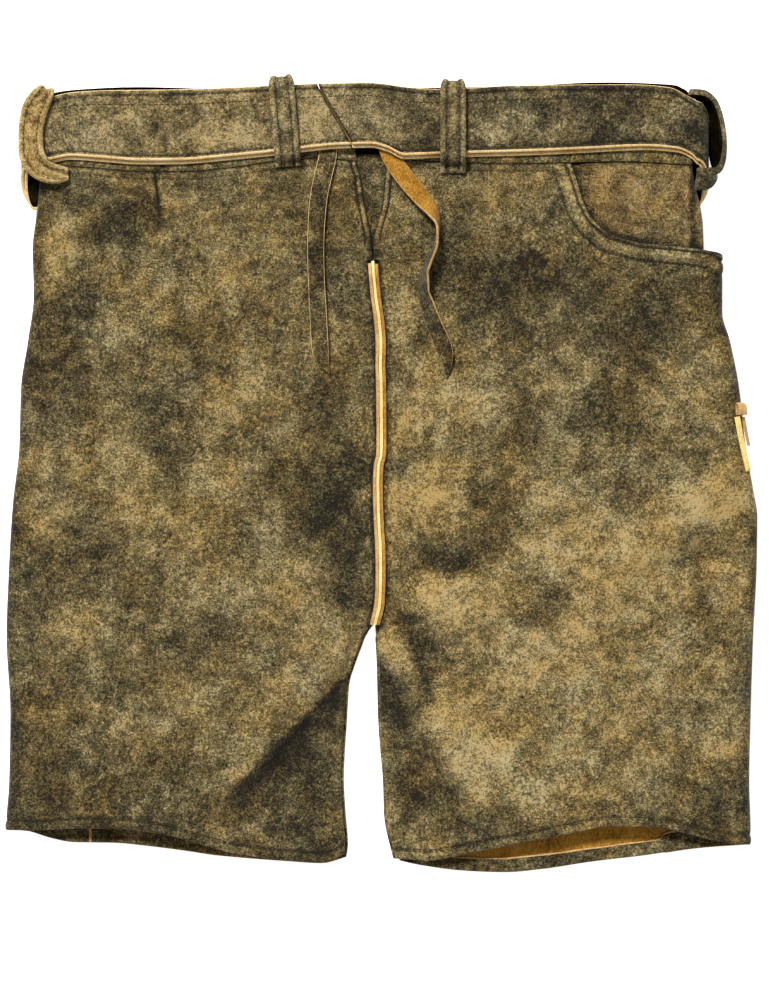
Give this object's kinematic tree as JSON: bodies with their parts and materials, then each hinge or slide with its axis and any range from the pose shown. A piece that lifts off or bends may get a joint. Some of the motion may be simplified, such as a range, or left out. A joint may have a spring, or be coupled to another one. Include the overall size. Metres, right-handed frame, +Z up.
{
  "type": "lederhosen",
  "caption": "Short suede leather trousers laid flat, with a belt through its loops, a laced fly, a raised centre seam and a curved side pocket.",
  "frame": {"origin": "middle of the garment's box on the surface it lies on", "axes": "+Z up, out of the surface, the front of the trousers faces it; +Y towards the waist; +X to the viewer's right, the wearer's left"},
  "size_m": [0.504, 0.5344, 0.0244],
  "materials": {
    "suede_outside": "matte mottled suede, brushed nap",
    "suede_belt": "matte mottled suede, brushed nap",
    "suede_reverse": "raw flesh side, matte ochre",
    "seam_core": "cut edge, pale cream"
  },
  "bodies": {
    "root": {"front_left": "suede_outside", "front_right": "suede_outside", "pocket_hip_panel": "suede_outside", "back_left": "suede_outside", "back_right": "suede_outside", "back_side_left": "suede_outside", "back_side_right": "suede_outside", "fly_gusset": "suede_outside", "seam_ply_left": "suede_reverse", "seam_ply_core": "seam_core", "seam_ply_right": "suede_reverse", "waistband_front_left": "suede_outside", "waistband_front_right": "suede_outside", "waistband_back": "suede_outside", "belt_outer": "suede_belt", "belt_lining": "suede_reverse", "loop_front_left": "suede_belt", "loop_front_right": "suede_belt", "loop_side_left": "suede_belt", "loop_side_right": "suede_belt", "thong_left": "suede_outside", "thong_right": "suede_outside", "side_thong_pale": "suede_reverse", "side_thong_brown": "suede_outside", "side_thong_knot": "suede_reverse", "hem_facing_left": "suede_outside", "hem_facing_right": "suede_outside"}
  },
  "joints": []
}
